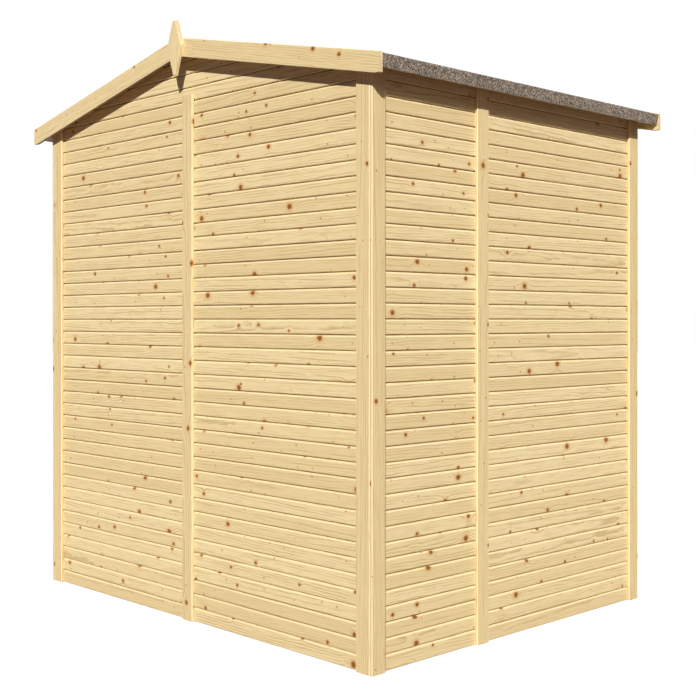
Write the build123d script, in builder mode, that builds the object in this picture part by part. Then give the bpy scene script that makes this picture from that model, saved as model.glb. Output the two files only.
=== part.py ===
# Wooden garden shed with a low pitched roof
#
# Millimetres, +Z up. The origin is on the ground under the middle of the shed.
# The ridge runs along Y. The rear gable faces -Y, the door gable faces +Y,
# and left and right are -X and +X.

import os
from math import cos, radians, sin, tan

from build123d import *

os.makedirs("parts", exist_ok=True)

# Walls, measured over the outer face of the cladding
wall_width = 1800
wall_length = 1400
wall_height = 1816
rear_panel_length = 500
cladding_thickness = 11

# Shiplap courses of the cladding, each with a hollow along its top edge
bottom_course = 51
courses_above = 37
hollow_height = 5.6
hollow_depth = 5.6

# Wall frames
stud_face = 28
stud_depth = 38
panel_gap = 2

# Floor
joist_width = 44
joist_height = 44
joist_pitch = 330
floor_thickness = 11

# Cover strips and corner trims
strip_width = 58
strip_thickness = 11
strip_lap = 18
arris = 1.5

# Roof
roof_pitch = 11.85
heel_height = 6
deck_thickness = 11
felt_thickness = 3
felt_fold_radius = 2.5
eaves_overhang = 79
verge_overhang = 39
eaves_rail_height = 25
eaves_rail_width = 38
ridge_beam_width = 34
ridge_beam_depth = 70
ridge_felt_width = 300
rafter_depth = 34

# Bargeboards and finials
bargeboard_depth = 64
bargeboard_upstand = 3
bargeboard_thickness = 14
bargeboard_tip_cut = 5
finial_height = 190
finial_width = 80
finial_thickness = 14
finial_top_width = 17
finial_tip_width = 9
finial_rise = 62
finial_shoulder_share = 0.47

# Door
doorway_width = 780
door_clearance = 4
door_lift = 15
ledge_width = 70
ledge_thickness = 18
ledge_inset = 24
ledge_height_shares = (0.12, 0.5, 0.88)
hinge_height_shares = (0.14, 0.5, 0.86)
hinge_height = 75
hinge_leaf_width = 30
hinge_leaf_thickness = 2
hinge_barrel_radius = 4
button_height_shares = (0.3, 0.7)
button_length = 84
button_width = 26
button_thickness = 14

# Faces of the walls that the rest is built on
half_width = wall_width / 2
half_length = wall_length / 2
frame_x = half_width - cladding_thickness
frame_y = half_length - cladding_thickness
inner_x = frame_x - stud_depth
inner_y = frame_y - stud_depth
trim_x = half_width + strip_thickness
trim_y = half_length + strip_thickness
panel_joint_y = rear_panel_length - half_length
half_gap = panel_gap / 2
floor_top = joist_height + floor_thickness
sill_top = floor_top + stud_face
plate_bottom = wall_height - stud_face
half_doorway = doorway_width / 2
course_height = (wall_height - bottom_course) / courses_above

# Roof planes
pitch = radians(roof_pitch)
slope = tan(pitch)
ridge_underside = wall_height + heel_height + half_width * slope
deck_rise = deck_thickness / cos(pitch)
felt_rise = felt_thickness / cos(pitch)
ridge_top = ridge_underside + deck_rise
deck_end_y = half_length + verge_overhang
verge_y = deck_end_y + bargeboard_thickness
eaves_x = half_width + eaves_overhang
slope_length = (eaves_x - deck_thickness * sin(pitch)) / cos(pitch)
verge_rail_width = verge_overhang - strip_thickness - panel_gap
right_slope = Plane(
    origin=(0, 0, ridge_underside),
    x_dir=(cos(pitch), 0, -sin(pitch)),
    z_dir=(0, -1, 0),
)


def roof_underside(x):
    """Height of the underside of the roof deck at a distance from the ridge."""
    return ridge_underside - x * slope


def across(y):
    """Upright plane across the shed, drawn in X and Z and facing the rear."""
    return Plane(origin=(0, y, 0), x_dir=(1, 0, 0), z_dir=(0, -1, 0))


def along(x):
    """Upright plane along the shed, drawn in Y and Z and facing right."""
    return Plane(origin=(x, 0, 0), x_dir=(0, 1, 0), z_dir=(1, 0, 0))


def area(start, end, bottom, top):
    """Rectangle between two ends and two heights of the sketch in hand."""
    with Locations(((start + end) / 2, (bottom + top) / 2)):
        Rectangle(end - start, top - bottom)


def course_tops(bottom, top):
    """Heights of the tops of the courses that end between two heights."""
    tops = []
    course_top = bottom_course
    while course_top < top + hollow_height / 2:
        if course_top > bottom + hollow_height:
            tops.append(course_top)
        course_top += course_height
    return tops


def plane_hollows(end, face, inward, bottom, top, length):
    """Cut the hollows of the courses into a face, drawn at one end of its wall."""
    with BuildSketch(end) as hollows:
        with Locations([(face, course_top) for course_top in course_tops(bottom, top)]):
            Polygon((0, 0), (inward * hollow_depth, 0), (0, -hollow_height), align=None)
    extrude(hollows.sketch, amount=length, dir=end.z_dir, mode=Mode.SUBTRACT)


def save(piece, name):
    """Name a finished piece and write it to its own file."""
    piece.part.label = name
    export_step(piece.part, f"parts/{name}.step")


# Floor joists, running across the shed
with BuildPart() as floor_joists:
    joist_run = 2 * frame_y - joist_width
    joist_count = 1 + round(joist_run / joist_pitch)
    with BuildSketch(along(-frame_x)):
        with Locations((0, joist_height / 2)):
            with GridLocations(joist_run / (joist_count - 1), 0, joist_count, 1):
                Rectangle(joist_width, joist_height)
    extrude(amount=2 * frame_x)
save(floor_joists, "floor_joists")

# Floor deck, under the wall frames and inside the cladding
with BuildPart() as floor_deck:
    with BuildSketch(Plane.XY.offset(joist_height)):
        Rectangle(2 * frame_x, 2 * frame_y)
    extrude(amount=floor_thickness)
save(floor_deck, "floor_deck")

# Studs and rails of the rear wall, which is two panels side by side
with BuildPart() as rear_studs:
    with BuildSketch(across(-inner_y)):
        area(half_gap, half_gap + stud_face, sill_top, plate_bottom)
        area(frame_x - stud_face, frame_x, sill_top, plate_bottom)
        middle = (half_gap + frame_x) / 2
        area(middle - stud_face / 2, middle + stud_face / 2, sill_top, plate_bottom)
    extrude(amount=stud_depth)
    mirror(about=Plane.YZ)
save(rear_studs, "rear_studs")

with BuildPart() as rear_rails:
    with BuildSketch(across(-inner_y)):
        area(half_gap, frame_x, floor_top, sill_top)
        area(half_gap, frame_x, plate_bottom, wall_height)
    extrude(amount=stud_depth)
    mirror(about=Plane.YZ)
save(rear_rails, "rear_rails")

# Cladding of the rear wall
with BuildPart() as rear_right_cladding:
    with BuildSketch(across(-frame_y)):
        area(half_gap, half_width, 0, wall_height)
    extrude(amount=cladding_thickness)
    plane_hollows(along(half_gap), -half_length, 1, 0, wall_height, half_width - half_gap)
save(rear_right_cladding, "rear_right_cladding")

with BuildPart() as rear_left_cladding:
    mirror(rear_right_cladding.part, about=Plane.YZ)
save(rear_left_cladding, "rear_left_cladding")

# Gable tops, on the wall panels and under the roof deck
with BuildPart() as rear_gable_top:
    with BuildSketch(across(-frame_y)):
        with BuildLine():
            Polyline(
                (-half_width, wall_height),
                (half_width, wall_height),
                (half_width, roof_underside(half_width)),
                (0, ridge_underside),
                (-half_width, roof_underside(half_width)),
                close=True,
            )
        make_face()
    extrude(amount=cladding_thickness)
    plane_hollows(along(-half_width), -half_length, 1, wall_height, ridge_underside, wall_width)
save(rear_gable_top, "rear_gable_top")

with BuildPart() as front_gable_top:
    mirror(rear_gable_top.part, about=Plane.XZ)
save(front_gable_top, "front_gable_top")

# Ridge beam, with its top planed to both roof slopes
with BuildPart() as ridge_beam:
    with BuildSketch(across(0)):
        beam_side = ridge_beam_width / 2
        with BuildLine():
            Polyline(
                (-beam_side, ridge_underside - ridge_beam_depth),
                (beam_side, ridge_underside - ridge_beam_depth),
                (beam_side, roof_underside(beam_side)),
                (0, ridge_underside),
                (-beam_side, roof_underside(beam_side)),
                close=True,
            )
        make_face()
    extrude(amount=frame_y, both=True)
save(ridge_beam, "ridge_beam")

# Rafters behind the gable tops, from the ridge beam down to the wall plates
with BuildPart() as gable_rafters:
    with BuildSketch(across(-inner_y)):
        rafter_drop = rafter_depth / cos(pitch)
        foot_x = (ridge_underside - rafter_drop - wall_height) / slope
        with BuildLine():
            Polyline(
                (beam_side, roof_underside(beam_side)),
                (frame_x, roof_underside(frame_x)),
                (frame_x, wall_height),
                (foot_x, wall_height),
                (beam_side, roof_underside(beam_side) - rafter_drop),
                close=True,
            )
        make_face()
    extrude(amount=stud_depth)
    mirror(about=Plane.YZ)
    mirror(about=Plane.XZ)
save(gable_rafters, "gable_rafters")

# Studs and rails of the front wall, either side of the doorway
with BuildPart() as front_studs:
    with BuildSketch(across(frame_y)):
        area(half_doorway, half_doorway + stud_face, sill_top, plate_bottom)
        area(frame_x - stud_face, frame_x, sill_top, plate_bottom)
    extrude(amount=stud_depth)
    mirror(about=Plane.YZ)
save(front_studs, "front_studs")

with BuildPart() as front_rails:
    with BuildSketch(across(frame_y)):
        area(half_doorway, frame_x, floor_top, sill_top)
        area(-frame_x, -half_doorway, floor_top, sill_top)
        area(-frame_x, frame_x, plate_bottom, wall_height)
    extrude(amount=stud_depth)
save(front_rails, "front_rails")

# Cladding either side of the doorway
with BuildPart() as front_right_cladding:
    with BuildSketch(across(half_length)):
        area(half_doorway, half_width, 0, wall_height)
    extrude(amount=cladding_thickness)
    front_panel_length = half_width - half_doorway
    plane_hollows(along(half_doorway), half_length, -1, 0, wall_height, front_panel_length)
save(front_right_cladding, "front_right_cladding")

with BuildPart() as front_left_cladding:
    mirror(front_right_cladding.part, about=Plane.YZ)
save(front_left_cladding, "front_left_cladding")

# Studs of a side wall: one at each end of its two panels, one amid the longer
side_plate_bottom = roof_underside(frame_x) - stud_face
with BuildPart() as right_studs:
    with BuildSketch(along(inner_x)):
        front_middle = (panel_joint_y + inner_y) / 2
        for stud_start in (
            -inner_y,
            panel_joint_y - half_gap - stud_face,
            panel_joint_y + half_gap,
            front_middle - stud_face / 2,
            inner_y - stud_face,
        ):
            area(stud_start, stud_start + stud_face, sill_top, side_plate_bottom)
    extrude(amount=stud_depth)
save(right_studs, "right_studs")

with BuildPart() as left_studs:
    mirror(right_studs.part, about=Plane.YZ)
save(left_studs, "left_studs")

# Rails of a side wall, the upper ones planed to the roof slope
with BuildPart() as right_rails:
    for rail_start, rail_end in (
        (-inner_y, panel_joint_y - half_gap),
        (panel_joint_y + half_gap, inner_y),
    ):
        with BuildSketch(across(rail_end)):
            area(inner_x, frame_x, floor_top, sill_top)
            with BuildLine():
                Polyline(
                    (inner_x, side_plate_bottom),
                    (frame_x, side_plate_bottom),
                    (frame_x, roof_underside(frame_x)),
                    (inner_x, roof_underside(inner_x)),
                    close=True,
                )
            make_face()
        extrude(amount=rail_end - rail_start)
save(right_rails, "right_rails")

with BuildPart() as left_rails:
    mirror(right_rails.part, about=Plane.YZ)
save(left_rails, "left_rails")

# Cladding of a side wall, planed to the roof slope and between the gables
for panel_name, panel_start, panel_end in (
    ("rear", -frame_y, panel_joint_y - half_gap),
    ("front", panel_joint_y + half_gap, frame_y),
):
    with BuildPart() as right_cladding:
        with BuildSketch(across(panel_end)):
            with BuildLine():
                Polyline(
                    (frame_x, 0),
                    (half_width, 0),
                    (half_width, roof_underside(half_width)),
                    (frame_x, roof_underside(frame_x)),
                    close=True,
                )
            make_face()
        side_panel_length = panel_end - panel_start
        extrude(amount=side_panel_length)
        plane_hollows(across(panel_end), half_width, -1, 0, wall_height, side_panel_length)
    save(right_cladding, f"right_{panel_name}_cladding")

    with BuildPart() as left_cladding:
        mirror(right_cladding.part, about=Plane.YZ)
    save(left_cladding, f"left_{panel_name}_cladding")

# Cover strips over the joints between panels
with BuildPart() as rear_cover_strip:
    with BuildSketch(across(-half_length)):
        area(-strip_width / 2, strip_width / 2, 0, wall_height + strip_lap)
    extrude(amount=strip_thickness)
    chamfer(rear_cover_strip.faces().sort_by(Axis.Y)[0].edges(), arris)
save(rear_cover_strip, "rear_cover_strip")

side_trim_top = roof_underside(trim_x)
with BuildPart() as side_cover_strips:
    with BuildSketch(along(half_width)):
        area(
            panel_joint_y - strip_width / 2,
            panel_joint_y + strip_width / 2,
            0,
            side_trim_top,
        )
    extrude(amount=strip_thickness)
    chamfer(side_cover_strips.faces().sort_by(Axis.X)[-1].edges(), arris)
    mirror(about=Plane.YZ)
save(side_cover_strips, "side_cover_strips")

# Corner trims: the ones on the sides lap the edges of the ones on the gables
with BuildPart() as rear_corner_trims:
    with BuildSketch(across(-half_length)):
        area(half_width - strip_width, half_width, 0, roof_underside(half_width))
    extrude(amount=strip_thickness)
    chamfer(rear_corner_trims.faces().sort_by(Axis.Y)[0].edges(), arris)
    mirror(about=Plane.YZ)
save(rear_corner_trims, "rear_corner_trims")

with BuildPart() as front_corner_trims:
    mirror(rear_corner_trims.part, about=Plane.XZ)
save(front_corner_trims, "front_corner_trims")

with BuildPart() as right_corner_trims:
    with BuildSketch(along(half_width)):
        area(-trim_y, strip_width - trim_y, 0, side_trim_top)
    extrude(amount=strip_thickness)
    chamfer(right_corner_trims.faces().sort_by(Axis.X)[-1].edges(), arris)
    mirror(about=Plane.XZ)
save(right_corner_trims, "right_corner_trims")

with BuildPart() as left_corner_trims:
    mirror(right_corner_trims.part, about=Plane.YZ)
save(left_corner_trims, "left_corner_trims")

# Roof decks, mitred at the ridge and cut square at the eaves
with BuildPart() as roof_deck_right:
    with BuildSketch(right_slope):
        with BuildLine():
            Polyline(
                (0, 0),
                (slope_length, 0),
                (slope_length, deck_thickness),
                (-deck_thickness * slope, deck_thickness),
                close=True,
            )
        make_face()
    extrude(amount=deck_end_y, both=True)
save(roof_deck_right, "roof_deck_right")

with BuildPart() as roof_deck_left:
    mirror(roof_deck_right.part, about=Plane.YZ)
save(roof_deck_left, "roof_deck_left")

# Rails under the verges of the decks, which carry the bargeboards
verge_rail_end_y = deck_end_y - verge_rail_width
with BuildPart() as verge_rails:
    with BuildSketch(right_slope.offset(verge_rail_end_y)):
        rail_start = half_gap / cos(pitch)
        with BuildLine():
            Polyline(
                (rail_start, 0),
                (slope_length, 0),
                (slope_length, -eaves_rail_height),
                (rail_start + eaves_rail_height * slope, -eaves_rail_height),
                close=True,
            )
        make_face()
    extrude(amount=verge_rail_width)
    mirror(about=Plane.YZ)
    mirror(about=Plane.XZ)
save(verge_rails, "verge_rails")

# Rails under the eaves of the decks, between the verge rails
with BuildPart() as eaves_rails:
    with BuildSketch(right_slope):
        area(slope_length - eaves_rail_width, slope_length, -eaves_rail_height, 0)
    extrude(amount=verge_rail_end_y, both=True)
    mirror(about=Plane.YZ)
save(eaves_rails, "eaves_rails")

# Felt on each slope, folded down over the edge of the eaves
with BuildPart() as felt_right:
    with BuildSketch(right_slope):
        felt_top = deck_thickness + felt_thickness
        with BuildLine():
            Polyline(
                (-deck_thickness * slope, deck_thickness),
                (slope_length + felt_thickness, deck_thickness),
                (slope_length + felt_thickness, felt_top),
                (-felt_top * slope, felt_top),
                close=True,
            )
        make_face()
        area(slope_length, slope_length + felt_thickness, -eaves_rail_height, felt_top)
    extrude(amount=deck_end_y, both=True)
    folds = felt_right.edges().filter_by(Axis.Y).group_by(Axis.X)[-1].sort_by(Axis.Z)
    fillet(folds[-1], felt_fold_radius)
save(felt_right, "felt_right")

with BuildPart() as felt_left:
    mirror(felt_right.part, about=Plane.YZ)
save(felt_left, "felt_left")

# Felt strip that caps the ridge
with BuildPart() as ridge_felt:
    with BuildSketch(across(0)):
        cap_side = ridge_felt_width / 2
        cap_base = ridge_top + felt_rise
        with BuildLine():
            Polyline(
                (0, cap_base),
                (cap_side, cap_base - cap_side * slope),
                (cap_side, cap_base - cap_side * slope + felt_rise),
                (0, cap_base + felt_rise),
                close=True,
            )
        make_face()
        mirror(about=Plane.YZ)
    extrude(amount=deck_end_y, both=True)
save(ridge_felt, "ridge_felt")

# Bargeboards, standing above the felt and cut plumb at the ridge and at the eaves
with BuildPart() as rear_bargeboards:
    board_end = eaves_x + felt_thickness
    board_drop = bargeboard_depth / cos(pitch)
    board_ridge = ridge_top + felt_rise + bargeboard_upstand / cos(pitch)
    tip_height = board_ridge - board_end * slope - board_drop + bargeboard_tip_cut
    with BuildSketch(across(-deck_end_y)):
        with BuildLine():
            Polyline(
                (half_gap, board_ridge - half_gap * slope),
                (board_end, board_ridge - board_end * slope),
                (board_end, tip_height),
                (board_end - bargeboard_tip_cut / slope, tip_height),
                (half_gap, board_ridge - half_gap * slope - board_drop),
                close=True,
            )
        make_face()
    extrude(amount=bargeboard_thickness)
    chamfer(rear_bargeboards.faces().sort_by(Axis.Y)[0].edges(), arris)
    mirror(about=Plane.YZ)
save(rear_bargeboards, "rear_bargeboards")

with BuildPart() as front_bargeboards:
    mirror(rear_bargeboards.part, about=Plane.XZ)
save(front_bargeboards, "front_bargeboards")

# Diamond finials over the joints of the bargeboards
with BuildPart() as finials:
    finial_top = ridge_top + finial_rise
    shoulder_z = finial_top - finial_shoulder_share * finial_height
    with BuildSketch(across(-verge_y)):
        with BuildLine():
            Polyline(
                (0, finial_top),
                (finial_top_width / 2, finial_top),
                (finial_width / 2, shoulder_z),
                (finial_tip_width / 2, finial_top - finial_height),
                (0, finial_top - finial_height),
                close=True,
            )
        make_face()
        mirror(about=Plane.YZ)
    extrude(amount=finial_thickness)
    chamfer(finials.faces().sort_by(Axis.Y)[0].edges(), arris)
    mirror(about=Plane.XZ)
save(finials, "finials")

# Door leaf, its ledges inside and its stiles outside
leaf_side = half_doorway - door_clearance
leaf_top = wall_height - door_clearance
leaf_height = leaf_top - door_lift
with BuildPart() as door_leaf:
    with BuildSketch(across(half_length)):
        area(-leaf_side, leaf_side, door_lift, leaf_top)
    extrude(amount=cladding_thickness)
    plane_hollows(along(-leaf_side), half_length, -1, door_lift, leaf_top, 2 * leaf_side)
save(door_leaf, "door_leaf")

with BuildPart() as door_ledges:
    with BuildSketch(across(frame_y)):
        for height_share in ledge_height_shares:
            with Locations((0, door_lift + height_share * leaf_height)):
                Rectangle(2 * (leaf_side - ledge_inset), ledge_width)
    extrude(amount=ledge_thickness)
save(door_ledges, "door_ledges")

with BuildPart() as door_stiles:
    with BuildSketch(across(trim_y)):
        area(leaf_side - strip_width, leaf_side, door_lift, leaf_top)
    extrude(amount=strip_thickness)
    chamfer(door_stiles.faces().sort_by(Axis.Y)[-1].edges(), arris)
    mirror(about=Plane.YZ)
save(door_stiles, "door_stiles")

# Trims on the wall round the doorway
with BuildPart() as door_jamb_trims:
    with BuildSketch(across(trim_y)):
        area(half_doorway, half_doorway + strip_width, 0, wall_height)
    extrude(amount=strip_thickness)
    chamfer(door_jamb_trims.faces().sort_by(Axis.Y)[-1].edges(), arris)
    mirror(about=Plane.YZ)
save(door_jamb_trims, "door_jamb_trims")

with BuildPart() as door_head_trim:
    with BuildSketch(across(trim_y)):
        area(
            -half_doorway - strip_width,
            half_doorway + strip_width,
            wall_height,
            wall_height + strip_width,
        )
    extrude(amount=strip_thickness)
    chamfer(door_head_trim.faces().sort_by(Axis.Y)[-1].edges(), arris)
save(door_head_trim, "door_head_trim")

# Hinges, with their leaves on the right stile and jamb trim
hinge_x = half_doorway - door_clearance / 2
with BuildPart() as door_hinges:
    for height_share in hinge_height_shares:
        hinge_z = door_lift + height_share * leaf_height
        with BuildSketch(across(trim_y)):
            with Locations((hinge_x, hinge_z)):
                Rectangle(2 * hinge_leaf_width, hinge_height)
        extrude(amount=-hinge_leaf_thickness)
        with BuildSketch(Plane.XY.offset(hinge_z - hinge_height / 2)):
            with Locations((hinge_x, trim_y + hinge_barrel_radius)):
                Circle(hinge_barrel_radius)
        extrude(amount=hinge_height)
save(door_hinges, "door_hinges")

# Wooden turn buttons that hold the door shut
with BuildPart() as door_turn_buttons:
    with BuildSketch(across(trim_y)):
        for height_share in button_height_shares:
            with Locations((-hinge_x, door_lift + height_share * leaf_height)):
                SlotOverall(button_length, button_width)
    extrude(amount=-button_thickness)
    chamfer(door_turn_buttons.faces().group_by(Axis.Y)[-1].edges(), arris)
save(door_turn_buttons, "door_turn_buttons")
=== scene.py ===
# %% [markdown]
# # A pine garden shed, dressed board by board
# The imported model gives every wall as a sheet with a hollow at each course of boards, and the
# roof as plain slabs, all in metres and in one frame: +Z is up, the rear gable faces -Y, the door
# gable faces +Y, and the ridge runs between them. This lesson lays single boards on the walls,
# folds felt over the roof and gives every piece of timber its own grain. Nothing is moved: each
# new piece sits where the sheet that it stands for already is.

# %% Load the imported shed
import math
import random

import bmesh
import bpy
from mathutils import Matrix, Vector


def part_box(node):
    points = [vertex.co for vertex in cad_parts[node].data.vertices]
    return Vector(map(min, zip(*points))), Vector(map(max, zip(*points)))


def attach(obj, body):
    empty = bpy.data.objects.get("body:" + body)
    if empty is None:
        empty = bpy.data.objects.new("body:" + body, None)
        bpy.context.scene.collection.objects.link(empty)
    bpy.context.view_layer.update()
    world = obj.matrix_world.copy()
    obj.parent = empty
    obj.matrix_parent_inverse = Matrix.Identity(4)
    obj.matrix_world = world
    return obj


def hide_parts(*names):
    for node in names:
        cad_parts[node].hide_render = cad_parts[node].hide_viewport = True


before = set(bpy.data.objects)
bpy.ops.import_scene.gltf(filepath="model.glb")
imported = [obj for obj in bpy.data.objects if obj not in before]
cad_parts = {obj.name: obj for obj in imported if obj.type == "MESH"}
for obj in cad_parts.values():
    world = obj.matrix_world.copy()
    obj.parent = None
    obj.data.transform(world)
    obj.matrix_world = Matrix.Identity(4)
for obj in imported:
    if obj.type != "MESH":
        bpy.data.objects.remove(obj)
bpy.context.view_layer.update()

print("nodes in the packed shed:", len(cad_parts))

# %% [markdown]
# ## Sizes
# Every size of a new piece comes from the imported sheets, so a board can't miss its wall. The
# only sizes set here are the ones that a box doesn't tell: the height of the bottom course of
# boards, which is a little taller than the others, and how many courses share the rest of the
# wall. A hair is the margin for saying that a point lies on a face. It is a tenth of a
# millimetre, which is smaller than any edge of the shed.

# %% Read the sizes of the walls and the roof
rear_low, rear_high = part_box("rear_right_cladding")
half_width = rear_high.x
half_length = -rear_low.y
wall_height = rear_high.z
board_thickness = rear_high.y - rear_low.y
ridge_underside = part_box("rear_gable_top")[1].z
eaves_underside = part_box("rear_corner_trims")[1].z
roof_slope = (ridge_underside - eaves_underside) / half_width
pitch = math.atan(roof_slope)

bottom_course = 0.051
courses_above = 37
course_height = (wall_height - bottom_course) / courses_above
hair = 0.0001
print(f"roof pitch {math.degrees(pitch):.2f} degrees, courses of {course_height * 1000:.1f} mm")

# %% [markdown]
# ## Working by hand, in code
# The tools that a person uses in the viewport act on whatever is selected, so the first helpers
# pick one piece, or the edges of it that lie in one place or run one way. Each tool call can then
# be read as one move of the hand.

# %% Helpers that select
nearly_all = 0.9


def only(piece):
    """Select one piece alone and make it the active one."""
    bpy.ops.object.select_all(action="DESELECT")
    piece.select_set(True)
    bpy.context.view_layer.objects.active = piece


def pick_edges(piece, wanted):
    """In edit mode, select the edges that pass a test."""
    bpy.ops.mesh.select_mode(type="EDGE")
    bpy.ops.mesh.select_all(action="DESELECT")
    shape = bmesh.from_edit_mesh(piece.data)
    for edge in shape.edges:
        if wanted(edge):
            edge.select_set(True)
    bmesh.update_edit_mesh(piece.data)


def pick_edges_at(piece, there):
    """In edit mode, select the edges whose two ends both pass a test of place."""
    pick_edges(piece, lambda edge: all(there(end.co) for end in edge.verts))


def pick_edges_along(piece, way):
    """In edit mode, select the edges that run along one axis, given as 0, 1 or 2."""

    def runs_along(edge):
        run = edge.verts[1].co - edge.verts[0].co
        return abs(run[way]) > nearly_all * run.length

    pick_edges(piece, runs_along)


print("helpers that select are ready")

# %% [markdown]
# ## From block to piece
# Most of the shed is sawn timber, so most pieces start as a block that fills a box. Boards that
# repeat are shaped once and copied, each copy with its own mesh, and joined in the end. A finished
# piece has its place and turn in its mesh and sits at the origin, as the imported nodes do, so that
# a grain that follows the mesh can't slide.

# %% Helpers that start, copy and join
def settle(piece):
    """Put a piece's place and turn into its mesh, so that it sits at the origin."""
    only(piece)
    bpy.ops.object.transform_apply(location=True, rotation=True, scale=True)


def start_block(low, high):
    """Add a block that fills the box between two corners."""
    low = Vector(low)
    high = Vector(high)
    bpy.ops.object.select_all(action="DESELECT")
    bpy.ops.mesh.primitive_cube_add(size=1, location=(low + high) / 2, scale=high - low)
    block = bpy.context.object
    settle(block)
    return block


def twin(piece):
    """Copy a piece together with its mesh."""
    copy = piece.copy()
    copy.data = piece.data.copy()
    bpy.context.collection.objects.link(copy)
    return copy


def join(parts, name):
    """Join parts into one piece and name it."""
    bpy.ops.object.select_all(action="DESELECT")
    for part in parts:
        part.select_set(True)
    bpy.context.view_layer.objects.active = parts[0]
    bpy.context.view_layer.update()
    bpy.ops.object.join()
    piece = bpy.context.object
    piece.name = name
    piece.data.name = name
    settle(piece)
    return piece


print("helpers that start, copy and join are ready")

# %% [markdown]
# ## Nodes in short
# A finish is a tree of nodes, and a tree that is wired line by line is hard to read. A few helpers
# keep it short: one starts a finish, one adds a node with its settings and inputs, one is a single
# sum and one mixes two colours. Another fades a value smoothly from 0 to 1, which is how a knot or
# a growth ring gets a soft edge.

# %% Helpers that wire nodes
def plug(tree, socket, value):
    """Join a socket to another one, or set it to a plain value."""
    if isinstance(value, bpy.types.NodeSocket):
        tree.links.new(value, socket)
    else:
        socket.default_value = value


def node(tree, kind, inputs=None, **settings):
    """Add a node with its settings, and plug its inputs by name or number."""
    made = tree.nodes.new(kind)
    for key, value in settings.items():
        setattr(made, key, value)
    for key, value in (inputs or {}).items():
        plug(tree, made.inputs[key], value)
    return made


def calc(tree, operation, *values):
    """One Math node, as its result."""
    made = node(tree, "ShaderNodeMath", operation=operation)
    for socket, value in zip(made.inputs, values):
        plug(tree, socket, value)
    return made.outputs[0]


def point(tree, x, y, z=0.0):
    """Three values as a vector."""
    return node(tree, "ShaderNodeCombineXYZ", {"X": x, "Y": y, "Z": z}).outputs[0]


print("helpers that wire nodes are ready")

# %% Helpers that shade
def fade(tree, value, start, end):
    """0 at start, 1 at end, smooth between; start may be the larger."""
    made = node(
        tree,
        "ShaderNodeMapRange",
        {"Value": value, "From Min": start, "From Max": end},
        interpolation_type="SMOOTHSTEP",
    )
    return made.outputs["Result"]


def blend(tree, factor, first, second):
    """Mix two colours, as a colour."""
    made = node(tree, "ShaderNodeMix", data_type="RGBA")
    plug(tree, made.inputs[0], factor)
    plug(tree, made.inputs[6], first)
    plug(tree, made.inputs[7], second)
    return made.outputs[2]


def start_finish(name):
    """A new material: itself, its tree of nodes and its shader."""
    finish = bpy.data.materials.new(name)
    finish.use_nodes = True
    tree = finish.node_tree
    return finish, tree, tree.nodes["Principled BSDF"]


print("helpers that shade are ready")

# %% [markdown]
# ## The figure of pine
# A board is a slice of a log. If a point of the board is given as a distance along the log and
# two distances from its heart, the growth rings are circles round the heart, and a slice of them
# shows as straight lines, or as long pointed arches where the heart is close below the face. So
# the figure is worked out from that log, in one group that all the timber shares, and each board
# only says where in a log it was cut. A picture of wood would be simpler, but it repeats, and its
# arches don't follow the board.
#
# Grain is the place in the log. Tone is how ripe the wood is, from 0 to 1. Below 0 it marks an
# arris with a painted highlight, and above 1 a hollow or underside with a painted shade. Knots is
# the share of the log's knots that show, and Sawn is how far a rough face has darkened.

# %% Start the figure
pine = bpy.data.node_groups.new("pine_figure", "ShaderNodeTree")
pine_sockets = (
    ("Grain", "INPUT", "NodeSocketVector"),
    ("Tone", "INPUT", "NodeSocketFloat"),
    ("Knots", "INPUT", "NodeSocketFloat"),
    ("Sawn", "INPUT", "NodeSocketFloat"),
    ("Color", "OUTPUT", "NodeSocketColor"),
    ("Roughness", "OUTPUT", "NodeSocketFloat"),
    ("Height", "OUTPUT", "NodeSocketFloat"),
)
for title, side, kind in pine_sockets:
    pine.interface.new_socket(title, in_out=side, socket_type=kind)
given = node(pine, "NodeGroupInput").outputs
log = node(pine, "ShaderNodeSeparateXYZ", {"Vector": given["Grain"]}).outputs
along, across, depth = log["X"], log["Y"], log["Z"]
print("sockets of the pine figure:", len(pine_sockets))

# %% [markdown]
# ## Knots
# A branch that the board cuts through leaves a knot: a ragged spot with a dark heart and a warm
# halo of resin, round which the rings bend. Single spots could be placed by hand, but a shed has
# hundreds. A pattern of cells gives each patch of the log one middle and one random colour. That
# colour says whether a branch grew there, how thick it was and how brown it is. All the rims are
# in radii of the knot, from where they start to where they are full. Two layers give the big
# knots and the pin knots.

# %% Scatter the knots
knot_squash = 0.86
ragged_scale = 190.0
ragged_rim = 0.8
core_rim = (1.12, 0.78)
heart_rim = (0.75, 0.1)
halo_rim = (2.5, 0.8)
bend_fall = -0.12
board_face = calc(pine, "ADD", across, depth)


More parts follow.
